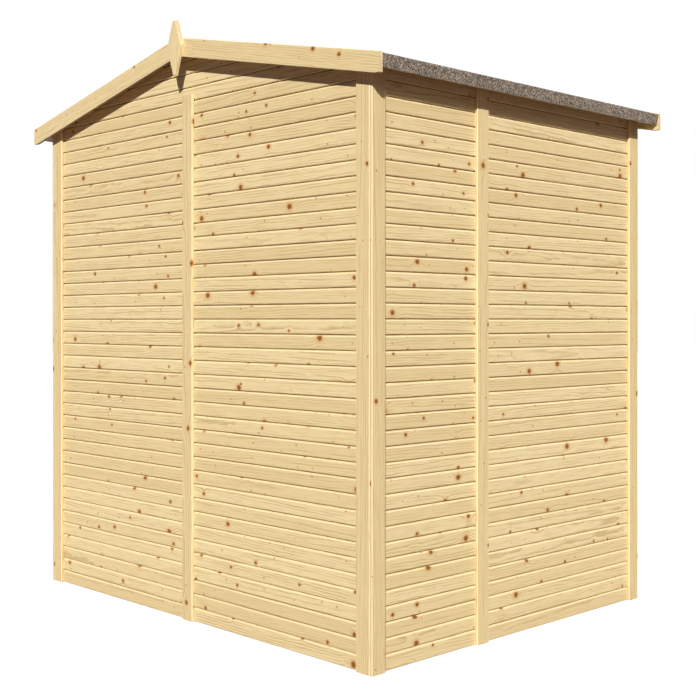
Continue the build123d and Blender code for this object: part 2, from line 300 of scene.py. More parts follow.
def knot_layer(spacing, smallest, largest, share):
    """Knots on a share of the patches: their masks, the bend of the rings and a random shade."""
    place = point(pine, calc(pine, "MULTIPLY", along, knot_squash), board_face)
    patches = node(
        pine,
        "ShaderNodeTexVoronoi",
        {"Vector": place, "Scale": 1 / spacing},
        voronoi_dimensions="2D",
        feature="F1",
    ).outputs
    ragged = node(
        pine,
        "ShaderNodeTexNoise",
        {"Vector": point(pine, along, board_face), "Scale": ragged_scale, "Detail": 1.0},
    ).outputs["Fac"]
    toss = node(pine, "ShaderNodeSeparateColor", {"Color": patches["Color"]}).outputs
    shown = calc(pine, "MULTIPLY", given["Knots"], share)
    present = calc(pine, "LESS_THAN", toss["Red"], shown)
    radius = calc(pine, "MULTIPLY_ADD", toss["Green"], largest - smallest, smallest)
    reach = calc(pine, "DIVIDE", calc(pine, "MULTIPLY", patches["Distance"], spacing), radius)
    rim = calc(pine, "ADD", reach, calc(pine, "MULTIPLY_ADD", ragged, ragged_rim, -ragged_rim / 2))
    fall = calc(pine, "MULTIPLY", calc(pine, "POWER", reach, 2.0), bend_fall)
    push = calc(pine, "MULTIPLY", calc(pine, "EXPONENT", fall), radius)
    return {
        "core": calc(pine, "MULTIPLY", fade(pine, rim, *core_rim), present),
        "heart": fade(pine, rim, *heart_rim),
        "halo": calc(pine, "MULTIPLY", fade(pine, rim, *halo_rim), present),
        "bend": calc(pine, "MULTIPLY", push, present),
        "shade": toss["Blue"],
    }


big = knot_layer(spacing=0.105, smallest=0.0042, largest=0.0102, share=0.41)
pin = knot_layer(spacing=0.060, smallest=0.0012, largest=0.0032, share=0.30)
print("nodes of the pine figure after the knots:", len(pine.nodes))

# %% [markdown]
# ## Growth rings
# Each year adds a broad pale band in spring and a thin dark line in summer. The distance from the
# heart, divided by the width of a ring, counts the years. A log isn't round or straight, so
# drawn-out noise makes the rings wander and waver, the log tapers, and each knot pushes the rings
# aside. Some summers were dry, so every ring gets a strength of its own.

# %% Grow the rings
ring_width = 0.0085
wander_reach = 0.015
waver_reach = 0.007
log_taper = 0.016
knot_push = 1.6
ring_darkens = (0.30, 0.88)
ring_ends = (1.0, 0.92)
ring_strengths = (-0.2, 0.8)


def log_noise(rate_along, rate_across, detail):
    """Noise drawn out along the log, from its waves in a metre along and across."""
    rates = (rate_along, rate_across, rate_across)
    drawn = node(pine, "ShaderNodeVectorMath", {0: given["Grain"], 1: rates}, operation="MULTIPLY")
    inputs = {"Vector": drawn.outputs[0], "Scale": 1.0, "Detail": detail}
    return node(pine, "ShaderNodeTexNoise", inputs).outputs["Fac"]


square = calc(pine, "ADD", calc(pine, "POWER", across, 2.0), calc(pine, "POWER", depth, 2.0))
rings = calc(pine, "SQRT", square)
rings = calc(pine, "MULTIPLY_ADD", log_noise(2.2, 9.0, detail=2.0), wander_reach, rings)
rings = calc(pine, "MULTIPLY_ADD", log_noise(16.0, 45.0, detail=1.0), waver_reach, rings)
rings = calc(pine, "MULTIPLY_ADD", along, log_taper, rings)
rings = calc(pine, "MULTIPLY_ADD", big["bend"], knot_push, rings)
years = calc(pine, "DIVIDE", rings, ring_width)
season = calc(pine, "FRACT", years)
summer = calc(pine, "MULTIPLY", fade(pine, season, *ring_darkens), fade(pine, season, *ring_ends))
weather = node(
    pine,
    "ShaderNodeTexWhiteNoise",
    {"W": calc(pine, "FLOOR", years)},
    noise_dimensions="1D",
).outputs["Value"]
summer = calc(pine, "MULTIPLY", summer, fade(pine, weather, *ring_strengths))
print("nodes of the pine figure after the rings:", len(pine.nodes))

# %% [markdown]
# ## The colour of pine
# Fresh pine is pale cream between its rings and honey brown on them. The colours are mixed as a
# painter lays glazes: the pale spring wood comes first, and each coat after it covers a part of
# what lies below. Fine streaks warm the wood between the rings, and clouds break up the dark lines,
# which are never even along a board.

# %% Colours of pine, in linear light
spring_wood = (0.918, 0.744, 0.415, 1.0)
summer_wood = (0.520, 0.345, 0.140, 1.0)
ripe_wood = (0.720, 0.535, 0.255, 1.0)
knot_halo = (0.740, 0.405, 0.140, 1.0)
knot_red = (0.390, 0.140, 0.026, 1.0)
knot_brown = (0.330, 0.142, 0.026, 1.0)
knot_dark = (0.165, 0.062, 0.010, 1.0)
# Painted colours: a shade for hollows and undersides, shared by sawn faces, and a highlight for
# arrises.
shade_and_sawn_wood = (0.150, 0.084, 0.030, 1.0)
painted_highlight_wood = (0.980, 0.830, 0.500, 1.0)
print("palest and darkest pine:", painted_highlight_wood[:3], shade_and_sawn_wood[:3])

# %% Lay the coats of colour
streaks = log_noise(14.0, 240.0, detail=3.0)
clouds = log_noise(8.0, 60.0, detail=2.0)
line = calc(pine, "MULTIPLY", summer, fade(pine, clouds, 0.25, 0.62))
knot_wood = blend(pine, big["shade"], knot_red, knot_brown)
knot_wood = blend(pine, big["heart"], knot_wood, knot_dark)
# Painted shade for tones above 1, shared with the darkening of sawn faces; painted highlight below 0.
dust = calc(pine, "MAXIMUM", fade(pine, given["Tone"], 1.0, 1.8), given["Sawn"])
coats = {
    "summer lines": (line, 0.80, summer_wood),
    "ripe boards": (fade(pine, given["Tone"], 0.1, 1.0), 0.50, ripe_wood),
    "warm streaks": (fade(pine, streaks, 0.42, 0.74), 0.55, ripe_wood),
    "painted arris highlight": (fade(pine, given["Tone"], 0.0, -0.7), 0.90, painted_highlight_wood),
    "halo of a big knot": (big["halo"], 0.62, knot_halo),
    "big knot": (big["core"], 1.00, knot_wood),
    "halo of a pin knot": (pin["halo"], 0.30, knot_halo),
    "pin knot": (pin["core"], 0.70, knot_brown),
    "dust": (dust, 0.95, shade_and_sawn_wood),
}
colour = spring_wood
for mask, strength, tint in coats.values():
    colour = blend(pine, calc(pine, "MULTIPLY", mask, strength), colour, tint)
print("coats over the spring wood:", ", ".join(coats))

# %% [markdown]
# ## Roughness and relief
# A plane takes more off the soft spring wood than off a knot, and summer lines shrink as they dry,
# so the figure can be felt. The relief is far under a millimetre deep, too fine for a mesh, and a
# bump shows it. The streaks also make the sheen uneven.

# %% Close the figure
rough_spread = 0.22
rough_least = 0.46
line_rise = -0.6
knot_rise = 0.5
rough = calc(pine, "MULTIPLY_ADD", streaks, rough_spread, rough_least)
relief = calc(pine, "MULTIPLY_ADD", line, line_rise, streaks)
relief = calc(pine, "MULTIPLY_ADD", big["core"], knot_rise, relief)
node(pine, "NodeGroupOutput", {"Color": colour, "Roughness": rough, "Height": relief})
print("nodes in the pine figure:", len(pine.nodes))

# %% [markdown]
# ## Finishes that use the figure
# Every timber finish is the same figure with other values, so one function makes them all. It
# is given a way to find the place in the log. The boards, strips and bargeboards made below carry
# that place, and their tone, as attributes of their own mesh.

# %% A finish for any timber
grain_depth = 0.0006
pine_gloss = 0.3


def timber_finish(name, place_in_log, knots, relief, sawn=0.0):
    """Pine material; place_in_log adds nodes to the tree and gives the grain and the tone."""
    finish, tree, shader = start_finish(name)
    grain, tone = place_in_log(tree)
    inputs = {"Grain": grain, "Tone": tone, "Knots": knots, "Sawn": sawn}
    figure = node(tree, "ShaderNodeGroup", inputs, node_tree=pine).outputs
    bump = node(
        tree,
        "ShaderNodeBump",
        {"Height": figure["Height"], "Strength": relief, "Distance": grain_depth},
    )
    tree.links.new(figure["Color"], shader.inputs["Base Color"])
    tree.links.new(figure["Roughness"], shader.inputs["Roughness"])
    tree.links.new(bump.outputs["Normal"], shader.inputs["Normal"])
    shader.inputs["Specular IOR Level"].default_value = pine_gloss
    return finish


def from_attributes(tree):
    """Place in the log and tone, as a piece made below carries them."""
    grain = node(tree, "ShaderNodeAttribute", attribute_name="grain").outputs["Vector"]
    tone = node(tree, "ShaderNodeAttribute", attribute_name="tone").outputs["Fac"]
    return grain, tone


board_finish = timber_finish("shiplap_pine", from_attributes, knots=1.0, relief=0.35)
print("finish for boards and strips:", board_finish.name)

# %% [markdown]
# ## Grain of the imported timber
# Finials, turn buttons, frames and decks stay as they are packed, and have no attributes. Their
# finishes work out the place in the log from Object coordinates: the long way of the timber goes
# along the log, and the other two ways go round its heart. Distances from the heart start again
# every so often, so that no piece is cut from an endless tree, and a number made from a piece's
# place moves it to another stretch of the log.

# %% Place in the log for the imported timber
log_width = 0.13
log_ways = {"x": "XZY", "y": "YXZ", "z": "ZXY"}
patches_in_metre = 2.0
column_step = 1.7
row_step = 5.3
slope_step = 1.9
gable_step = 3.1


def wrap(tree, value):
    """Bring a distance within half the width of the log from its heart."""
    return calc(tree, "WRAP", value, log_width / 2, -log_width / 2)


def patch_number(tree, first, second):
    """A number for each half metre of the cross section, so that pieces far apart differ."""
    column = calc(tree, "ROUND", calc(tree, "MULTIPLY", first, patches_in_metre))
    row = calc(tree, "ROUND", calc(tree, "MULTIPLY", second, patches_in_metre))
    return calc(tree, "MULTIPLY_ADD", row, row_step, calc(tree, "MULTIPLY", column, column_step))


def down_the_roof(tree, axes):
    """Place in the log of a timber that runs down a slope, and a number for each slope and gable."""
    run = calc(tree, "ABSOLUTE", axes["X"])
    level = calc(tree, "MULTIPLY", run, math.cos(pitch))
    along = calc(tree, "SUBTRACT", level, calc(tree, "MULTIPLY", axes["Z"], math.sin(pitch)))
    rise = calc(tree, "MULTIPLY", run, math.sin(pitch))
    across = calc(tree, "ADD", rise, calc(tree, "MULTIPLY", axes["Z"], math.cos(pitch)))
    gable = calc(tree, "MULTIPLY", calc(tree, "SIGN", axes["Y"]), gable_step)
    number = calc(tree, "MULTIPLY_ADD", calc(tree, "SIGN", axes["X"]), slope_step, gable)
    return along, across, axes["Y"], number


print("packed timber runs along", ", ".join(log_ways), "or down the roof")

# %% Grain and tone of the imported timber
log_step = 3.7
tone_spread = 0.45
tone_least = 0.4


def from_place(way):
    """Place in the log from Object coordinates, for timber that runs along x, y, z or the roof."""

    def place_in_log(tree):
        coords = node(tree, "ShaderNodeTexCoord").outputs["Object"]
        axes = node(tree, "ShaderNodeSeparateXYZ", {"Vector": coords}).outputs
        if way == "roof":
            along, across, depth, number = down_the_roof(tree, axes)
        else:
            along, across, depth = (axes[axis] for axis in log_ways[way])
            number = patch_number(tree, across, depth)
        along = calc(tree, "MULTIPLY_ADD", number, log_step, along)
        toss = node(tree, "ShaderNodeTexWhiteNoise", {"W": number}, noise_dimensions="1D")
        tone = calc(tree, "MULTIPLY_ADD", toss.outputs["Value"], tone_spread, tone_least)
        return point(tree, along, wrap(tree, across), wrap(tree, depth)), tone

    return place_in_log


upright_finish = timber_finish("planed_pine_upright", from_place("z"), knots=0.9, relief=0.3)
level_finish = timber_finish("planed_pine_level", from_place("x"), knots=0.9, relief=0.3)
sawn_finish = {
    way: timber_finish(f"sawn_timber_{way}", from_place(way), knots=0.6, relief=0.9, sawn=0.5)
    for way in ("x", "y", "z", "roof")
}
print("finishes of the packed timber:", 2 + len(sawn_finish))

# %% [markdown]
# ## One shiplap board
# A shiplap board is flat, with a hollow planed along the top of its face. The board above stands
# on it, and the hollow under that board's lower edge makes the dark line between courses. The
# board starts as a block of its size. Its top front edge is cut back square, the inner corner of
# that rabbet is coved, the lip below it is rounded, and the bottom front edge gets a small chamfer.
# A modelled profile catches the light and hides from above as the real one does, which a painted
# line wouldn't.

# %% Plane a board
hollow = 0.0052
cove = 0.0014
lip = 0.0034
eased_edge = 0.0022
square_cut = 0.0
flat_cut = 0.25
round_cut = 0.5


def plane_board(length):
    """One board from x = 0 to its length, face at y = 0 and bottom at z = 0."""
    board = start_block((0, 0, 0), (length, board_thickness, course_height))
    shoulder = course_height - hollow
    bpy.ops.object.mode_set(mode="EDIT")
    pick_edges_at(board, lambda p: p.y < hair and p.z > course_height - hair)
    bpy.ops.mesh.bevel(offset=hollow, segments=2, profile=square_cut)
    pick_edges_at(board, lambda p: hair < p.y < hollow + hair and abs(p.z - shoulder) < hair)
    bpy.ops.mesh.bevel(offset=cove, segments=3, profile=round_cut)
    pick_edges_at(board, lambda p: p.y < hair and p.z > shoulder - hair)
    bpy.ops.mesh.bevel(offset=lip, segments=4, profile=round_cut)
    pick_edges_at(board, lambda p: p.y < hair and p.z < hair)
    bpy.ops.mesh.bevel(offset=eased_edge, segments=3, profile=flat_cut)
    bpy.ops.object.mode_set(mode="OBJECT")
    return board


print(f"hollow {hollow * 1000:.1f} mm, lip {lip * 1000:.1f} mm, chamfer {eased_edge * 1000:.1f} mm")

# %% [markdown]
# ## Where in a log a piece was cut
# No two boards look alike, because each was cut from another place. So every piece is given a
# stretch of log, a heart somewhere behind its face and a tone, all at random from a fixed seed, and
# notes them on its points as attributes. Two places get a tone of their own: the arrises get a
# painted highlight, and hollows, undersides and the backs of strips get a painted shade. Painting
# them as attributes keeps them on the right points however the piece is turned.

# %% Mark the grain of a piece
# Tones that mark where a painted shade and a painted highlight go.
painted_shade_tone = 3.0
painted_highlight_tone = -1.0
log_length = 40
heart_aside = 0.125
heart_depths = (0.010, 0.050)


def mark_grain(piece, dice, ways, tone, arris, shaded):
    """Note where in a log a piece was cut, and its tone, on its points.

    ways are the axes along the log, across its face and into its depth, as 0, 1 or 2. Points
    that pass the arris test get a painted highlight, and points that pass the last test get a
    painted shade.
    """
    along, across, depth = ways
    mesh = piece.data
    middle = sum((spot.co for spot in mesh.vertices), Vector()) / len(mesh.vertices)
    start = dice.uniform(0, log_length)
    heart_across = middle[across] + dice.uniform(-heart_aside, heart_aside)
    heart_depth = middle[depth] - dice.uniform(*heart_depths)
    places = []
    tones = []
    for spot in mesh.vertices:
        places.append(start + spot.co[along])
        places.append(spot.co[across] - heart_across)
        places.append(spot.co[depth] - heart_depth)
        if shaded(spot.co):
            tones.append(painted_shade_tone)
        elif arris(spot.co):
            tones.append(painted_highlight_tone)
        else:
            tones.append(tone)
    mesh.attributes.new("grain", "FLOAT_VECTOR", "POINT")
    mesh.attributes.new("tone", "FLOAT", "POINT")
    mesh.attributes["grain"].data.foreach_set("vector", places)
    mesh.attributes["tone"].data.foreach_set("value", tones)


print("tones of a dusty corner and a painted arris highlight:", painted_shade_tone, painted_highlight_tone)

# %% Find the points of a board for the painted shade and the painted highlight
def in_shaded_hollow(place):
    """True for the points of a board that lie at the top of its hollow, which get a painted shade."""
    return place.y > hollow - hair and place.z > course_height - hair


def on_highlit_arris(place):
    """True for the points on a board's rounded lip or chamfer, which get a painted highlight."""
    if place.z > course_height / 2:
        return hair < place.y < lip + hair
    return hair < place.y < eased_edge - hair


# The painted shade of a board sits at the top of its hollow.
print(f"dust lies {hollow * 1000:.1f} mm behind the face, at the top of a board")

# %% [markdown]
# ## A wall of boards
# The courses run at the same heights round the whole shed, so a course's height depends only on
# its number. A board of the panel's length is planed once and copied for every course, each copy is
# marked with its own grain, and the copies are joined into one piece for each panel. They are laid
# facing -Y, where measuring is simple, and the panel is turned to its wall at the end.

# %% Lay the courses of a panel
wall_turns = {"rear": 0, "right": 90, "front": 180, "left": 270}
wall_faces = {
    "rear": (0, -half_length, 0),
    "right": (half_width, 0, 0),
    "front": (0, half_length, 0),
    "left": (-half_width, 0, 0),
}
board_tones = (0.25, 1.0)


def course_bottom(course):
    """Height of the bottom edge of a course, counted from 0 at the ground."""
    return 0 if course == 0 else bottom_course + (course - 1) * course_height


def span_on_wall(low, high, wall):
    """Start and end of a sheet, measured along its wall as seen from outside."""
    turn = math.radians(wall_turns[wall])
    ends = [corner.x * math.cos(turn) + corner.y * math.sin(turn) for corner in (low, high)]
    return min(ends), max(ends)


def lay_boards(name, sheet, wall, dice):
    """Boards over the whole of a sheet, joined and turned to face the way that its wall does."""
    low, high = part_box(sheet)
    start, end = span_on_wall(low, high, wall)
    master = plane_board(end - start)
    boards = []
    course = 0
    while course_bottom(course) < high.z - hair:
        if course_bottom(course + 1) > low.z + hair:
            board = twin(master)
            # Each board gets a painted highlight on its lip and chamfer and a painted shade in its
            # hollow.
            mark_grain(board, dice, (0, 2, 1), dice.uniform(*board_tones), on_highlit_arris, in_shaded_hollow)
            board.location = (start, 0, course_bottom(course + 1) - course_height)
            boards.append(board)
        course += 1
    bpy.data.objects.remove(master)
    panel = join(boards, name)
    panel.rotation_euler.z = math.radians(wall_turns[wall])
    panel.location = wall_faces[wall]
    settle(panel)
    print(f"{name}: {len(boards)} boards, {end - start:.3f} m long")
    return panel


print("courses on a wall:", courses_above + 1)

# %% [markdown]
# ## Sawing and dressing
# Boards that meet the roof are sawn along its slope, and the door's boards to the height of its
# leaf. The bottom course is taller than the rest, so its lower edge is drawn down to the ground
# and keeps its chamfer. Dressing gives a piece its finish and hides the packed sheets that it
# covers. The name of a sheet says which wall it is on, and the boards take the rest of its name.

# %% Saw, stretch and dress
right_slope = Vector((math.sin(pitch), 0, math.cos(pitch)))
left_slope = Vector((-math.sin(pitch), 0, math.cos(pitch)))
under_ridge = (0, 0, ridge_underside)


def saw(piece, where, outward):
    """Saw a piece along a plane, and keep the part that lies behind it."""
    only(piece)
    bpy.ops.object.mode_set(mode="EDIT")
    bpy.ops.mesh.select_all(action="SELECT")
    bpy.ops.mesh.bisect(plane_co=where, plane_no=outward, use_fill=True, clear_outer=True)
    bpy.ops.object.mode_set(mode="OBJECT")


def stretch_to_ground(panel):
    """Draw the lower edge of the bottom course down to the ground."""
    lowest = min(spot.co.z for spot in panel.data.vertices)
    for spot in panel.data.vertices:
        if spot.co.z < lowest + 2 * eased_edge:
            spot.co.z -= lowest


def dress(piece, finish, slot, *sheets):
    """Give a piece its finish and let it stand for the sheets that it covers."""
    piece.data.materials.clear()
    piece.data.materials.append(finish)
    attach(piece, "root")
    if sheets:
        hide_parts(*sheets)


print(f"the saw is set to {math.degrees(pitch):.1f} degrees for the roof")

# %% Board the walls
board_dice = random.Random(20)
sheets = (
    "rear_left_cladding",
    "rear_right_cladding",
    "right_rear_cladding",
    "right_front_cladding",
    "left_rear_cladding",
    "left_front_cladding",
    "front_left_cladding",
    "front_right_cladding",
    "rear_gable_top",
    "front_gable_top",
    "door_leaf",
)
for sheet in sheets:
    stem = sheet.rsplit("_", 1)[0]
    wall = "front" if stem == "door" else stem.split("_")[0]
    panel = lay_boards(f"{stem}_boards", sheet, wall, board_dice)
    low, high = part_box(sheet)
    if low.z < hair:
        stretch_to_ground(panel)
    if stem == "door":
        saw(panel, (0, 0, low.z), (0, 0, -1))
        saw(panel, (0, 0, high.z), (0, 0, 1))
    if wall == "right" or sheet.endswith("gable_top"):
        saw(panel, under_ridge, right_slope)
    if wall == "left" or sheet.endswith("gable_top"):
        saw(panel, under_ridge, left_slope)
    dress(panel, board_finish, "pine", sheet)

# %% [markdown]
# ## Strips and trims
# Planed strips cover the joints of the wall panels, the corners and the edges of the doorway.
# They are planed on all four sides and their long edges are eased, so a thin dark line shows
# where a strip lies on the boards, and a bright one where its edge turns to the light. A painted
# shade on the back face deepens the dark line, and a painted highlight on the front eased edges
# brightens the bright one. The packed strips give the sizes and places. Each strip is a block of
# that size with all its long edges bevelled round, and it gets a place in a log of its own, so that
# no two strips look alike.

# %% Plane a strip
eased_arris = 0.0024
strip_tones = (0.7, 1.0)


def plane_strip(low, high, dice):
    """One strip that fills a box, with the edges along its longest side eased."""
    size = high - low
    longest = max(range(3), key=lambda way: size[way])
    thinnest = min(range(3), key=lambda way: size[way])
    across = 3 - longest - thinnest
    wall_face = min(low[thinnest], high[thinnest], key=abs)
    outer_face = max(low[thinnest], high[thinnest], key=abs)

    def on_highlit_edge(place):
        inside = low[across] + hair < place[across] < high[across] - hair
        return inside and hair < abs(place[thinnest] - outer_face) < eased_arris - hair

    strip = start_block(low, high)
    bpy.ops.object.mode_set(mode="EDIT")
    pick_edges_along(strip, longest)
    bpy.ops.mesh.bevel(offset=eased_arris, segments=3, profile=round_cut)
    bpy.ops.object.mode_set(mode="OBJECT")
    # The front eased edges get a painted highlight and the back face a painted shade.
    mark_grain(
        strip,
        dice,
        ways=(longest, across, thinnest),
        tone=dice.uniform(*strip_tones),
        arris=on_highlit_edge,
        shaded=lambda place: abs(place[thinnest] - wall_face) < hair,
    )
    return strip


print(f"long edges eased by {eased_arris * 1000:.1f} mm")

# %% [markdown]
# ## All the strips
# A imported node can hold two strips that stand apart, such as the trims of both rear corners. The
# box of the node then gives both: each strip is one end of the box, as wide or as thick as the
# single cover strip of the rear wall. The table says along which axis to look, and for what size.

# %% Plane all the strips
strip_low, strip_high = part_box("rear_cover_strip")
strip_width = strip_high.x - strip_low.x
strip_thickness = strip_high.y - strip_low.y
strip_nodes = {
    "rear_cover_strip": None,
    "side_cover_strips": (0, strip_thickness),
    "rear_corner_trims": (0, strip_width),
    "front_corner_trims": (0, strip_width),
    "right_corner_trims": (1, strip_width),
    "left_corner_trims": (1, strip_width),
    "door_stiles": (0, strip_width),
    "door_jamb_trims": (0, strip_width),
    "door_head_trim": None,
}


def pair(low, high, way, size):
    """The two ends of a box along one axis, each as a box of the given size."""
    first_end, second_start = high.copy(), low.copy()
    first_end[way] = low[way] + size
    second_start[way] = high[way] - size
    return (low, first_end), (second_start, high)


strip_dice = random.Random(31)
for packed_name, split in strip_nodes.items():
    low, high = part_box(packed_name)
    boxes = pair(low, high, *split) if split else ((low, high),)
    strips = [plane_strip(*box, strip_dice) for box in boxes]
    planed = join(strips, f"planed_{packed_name}")
    dress(planed, board_finish, "planed_pine", packed_name)
    print(f"{planed.name}: {len(strips)} strips")

# %% [markdown]
# ## Bargeboards
# Two planed boards close each end of the roof. They are cut plumb where they meet at the ridge and
# where they end at the eaves, and the sharp tip at the eaves is taken off level. A joiner planes
# such a board before it is cut to the roof, and so does this step: a straight block gets its eased
# edges and its place in a log, is tilted to the pitch and is then sawn three times. The grain is
# noted before the board is tilted, so it runs down the slope. A painted shade darkens the
# underside, and a painted highlight lightens the eased edges.

# %% Sizes of the bargeboards
barge_low, barge_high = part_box("rear_bargeboards")
barge_thickness = barge_high.y - barge_low.y
ridge_gap = 0.001
tip_cut = 0.005
barge_ridge = barge_high.z + ridge_gap * roof_slope
barge_drop = barge_ridge - barge_high.x * roof_slope - barge_low.z + tip_cut
barge_depth = barge_drop * math.cos(pitch)
print(f"bargeboards {barge_depth * 1000:.0f} mm deep and {barge_thickness * 1000:.0f} mm thick")

# %% Cut a bargeboard
spare_length = 0.05
barge_tones = (0.4, 0.8)


def on_highlit_barge_edge(place):
    """True for the points of a level bargeboard within its eased edges, which get a painted
    highlight.
    """
    return hair - barge_depth < place.z < -hair and abs(place.y) < barge_thickness / 2 - hair


def cut_bargeboard(side, middle_y, dice):
    """One bargeboard; side is 1 on the right slope and -1 on the left one."""
    reach = barge_high.x / math.cos(pitch) + spare_length
    half_thickness = barge_thickness / 2
    board = start_block((-spare_length, -half_thickness, -barge_depth), (reach, half_thickness, 0))
    bpy.ops.object.mode_set(mode="EDIT")
    pick_edges_along(board, 0)
    bpy.ops.mesh.bevel(offset=eased_arris, segments=3, profile=round_cut)
    bpy.ops.object.mode_set(mode="OBJECT")
    # The eased edges get a painted highlight and the underside a painted shade.
    mark_grain(
        board,
        dice,
        ways=(0, 2, 1),
        tone=dice.uniform(*barge_tones),
        arris=on_highlit_barge_edge,
        shaded=lambda place: place.z < hair - barge_depth,
    )
    board.rotation_euler = (0, pitch, 0 if side > 0 else math.pi)
    board.location = (0, middle_y, barge_ridge)
    settle(board)
    saw(board, (side * ridge_gap, 0, 0), (-side, 0, 0))
    saw(board, (side * barge_high.x, 0, 0), (side, 0, 0))
    saw(board, (0, 0, barge_low.z), (0, 0, -1))
    return board


barge_dice = random.Random(5)
for packed_name in ("rear_bargeboards", "front_bargeboards"):
    low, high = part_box(packed_name)
    boards = [cut_bargeboard(side, (low.y + high.y) / 2, barge_dice) for side in (-1, 1)]
    planed = join(boards, f"planed_{packed_name}")
    dress(planed, board_finish, "planed_pine", packed_name)
    print(f"{planed.name}: {len(boards)} boards")

# %% [markdown]
# ## The finish of mineral felt
# Roofing felt is a sheet of bitumen, pressed full of crushed stone. Each granule has a tone of its
# own, a few are nearly white, and here and there the dark bitumen shows through. Real granules
# would take millions of faces, so a pattern of cells at their true size gives each one its colour
# and its bump.

# %% Make the felt finish
felt_dark = (0.070, 0.058, 0.045, 1.0)
felt_grey = (0.275, 0.218, 0.165, 1.0)
felt_light = (0.720, 0.610, 0.470, 1.0)
granule = 0.0034
granule_relief = 0.0012
grey_stones = (0.15, 0.6)
pale_stones = (0.68, 0.95)
pale_strength = 0.8
bare_patches = (0.4, 0.75)
bare_strength = 0.25
felt_gloss = 0.25
patch_scale = 9.0
stone_bump = 0.7
felt_rough_spread = 0.25
felt_rough_least = 0.7


def make_felt_finish():
    """Crushed stone in dark bitumen: each granule has a tone of its own."""
    finish, tree, shader = start_finish("mineral_felt")
    coords = node(tree, "ShaderNodeTexCoord").outputs["Object"]
    stones = node(tree, "ShaderNodeTexVoronoi", {"Vector": coords, "Scale": 1 / granule}).outputs
    toss = node(tree, "ShaderNodeSeparateColor", {"Color": stones["Color"]}).outputs
    inputs = {"Vector": coords, "Scale": patch_scale, "Detail": 4.0}
    patches = node(tree, "ShaderNodeTexNoise", inputs)
    pale = calc(tree, "MULTIPLY", fade(tree, toss["Green"], *pale_stones), pale_strength)
    bare = calc(tree, "MULTIPLY", fade(tree, patches.outputs["Fac"], *bare_patches), bare_strength)
    colour = blend(tree, fade(tree, toss["Red"], *grey_stones), felt_dark, felt_grey)
    colour = blend(tree, pale, colour, felt_light)
    colour = blend(tree, bare, colour, felt_dark)
    bump = node(
        tree,
        "ShaderNodeBump",
        {"Height": stones["Distance"], "Strength": stone_bump, "Distance": granule_relief},
        invert=True,
    )
    rough = calc(tree, "MULTIPLY_ADD", toss["Blue"], felt_rough_spread, felt_rough_least)
    tree.links.new(colour, shader.inputs["Base Color"])
    tree.links.new(rough, shader.inputs["Roughness"])
    tree.links.new(bump.outputs["Normal"], shader.inputs["Normal"])
    shader.inputs["Specular IOR Level"].default_value = felt_gloss
    return finish


felt_finish = make_felt_finish()
print(f"felt finish with granules of {granule * 1000:.1f} mm")

# %% [markdown]
# ## Felt over the slopes
# The felt lies over the deck, between the bargeboards, and is folded down over the eaves. It is
# soft when it is laid, so the fold is round and the edge isn't quite straight. The sheet starts as
# a grid that lies flat. Its eaves edge is extruded down, all points off the ridge and the fold are
# shifted a little at random, the sheet is given its thickness, the outer edge of the fold is
# bevelled round, and the sheet is tilted to the roof. Nothing has to drape, so no cloth is simulated.

# %% Sizes of the felt
deck_low, deck_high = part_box("roof_deck_right")
felt_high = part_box("felt_right")[1]
rail_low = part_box("eaves_rails")[0]
deck_thickness = (deck_high.z - ridge_underside) * math.cos(pitch)
felt_thickness = (felt_high.z - deck_high.z) * math.cos(pitch)
deck_run = deck_high.x / math.cos(pitch)
deck_end = deck_high.y
fold_past_rail = 0.0015
fold_drop = deck_thickness + (deck_low.z - rail_low.z) / math.cos(pitch) + fold_past_rail
print(f"felt {felt_thickness * 1000:.1f} mm thick, folded {fold_drop * 1000:.0f} mm down the eaves")

# %% Fold a sheet of felt
felt_rows = 14
felt_columns = 60
ripple = 0.0007
fold_radius_share = 0.9
smooth_angle = math.radians(40)


def fold_sheet(dice):
    """Felt without thickness, flat from the ridge out along x, with its eaves edge turned down."""
    bpy.ops.object.select_all(action="DESELECT")
    bpy.ops.mesh.primitive_grid_add(
        x_subdivisions=felt_rows,
        y_subdivisions=felt_columns,
        size=1,
        location=(deck_run / 2, 0, 0),
    )
    felt = bpy.context.object
    felt.scale = (deck_run, 2 * deck_end, 1)
    settle(felt)
    bpy.ops.object.mode_set(mode="EDIT")
    pick_edges_at(felt, lambda p: p.x > deck_run - hair)
    bpy.ops.mesh.extrude_region_move(TRANSFORM_OT_translate={"value": (0, 0, -fold_drop)})
    bpy.ops.object.mode_set(mode="OBJECT")
    for spot in felt.data.vertices:
        if spot.co.z < -fold_drop / 2:
            spot.co.x += dice.uniform(0, ripple)
            spot.co.z += dice.uniform(-ripple, ripple)
        elif hair < spot.co.x < deck_run - hair:
            spot.co.z += dice.uniform(0, ripple)
    return felt


def thicken_sheet(felt):
    """Give the felt its thickness, upwards and outwards, and round its fold."""
    thicken = felt.modifiers.new("thickness", "SOLIDIFY")
    thicken.thickness = felt_thickness
    thicken.offset = 1
    thicken.use_even_offset = True
    only(felt)
    bpy.ops.object.modifier_apply(modifier=thicken.name)
    bpy.ops.object.mode_set(mode="EDIT")
    pick_edges_at(felt, lambda p: p.x > deck_run + hair and p.z > hair)
    bpy.ops.mesh.bevel(offset=fold_radius_share * felt_thickness, segments=4, profile=round_cut)
    bpy.ops.object.mode_set(mode="OBJECT")
    bpy.ops.object.shade_smooth_by_angle(angle=smooth_angle)


print(f"each sheet starts as a grid of {felt_rows} by {felt_columns}")

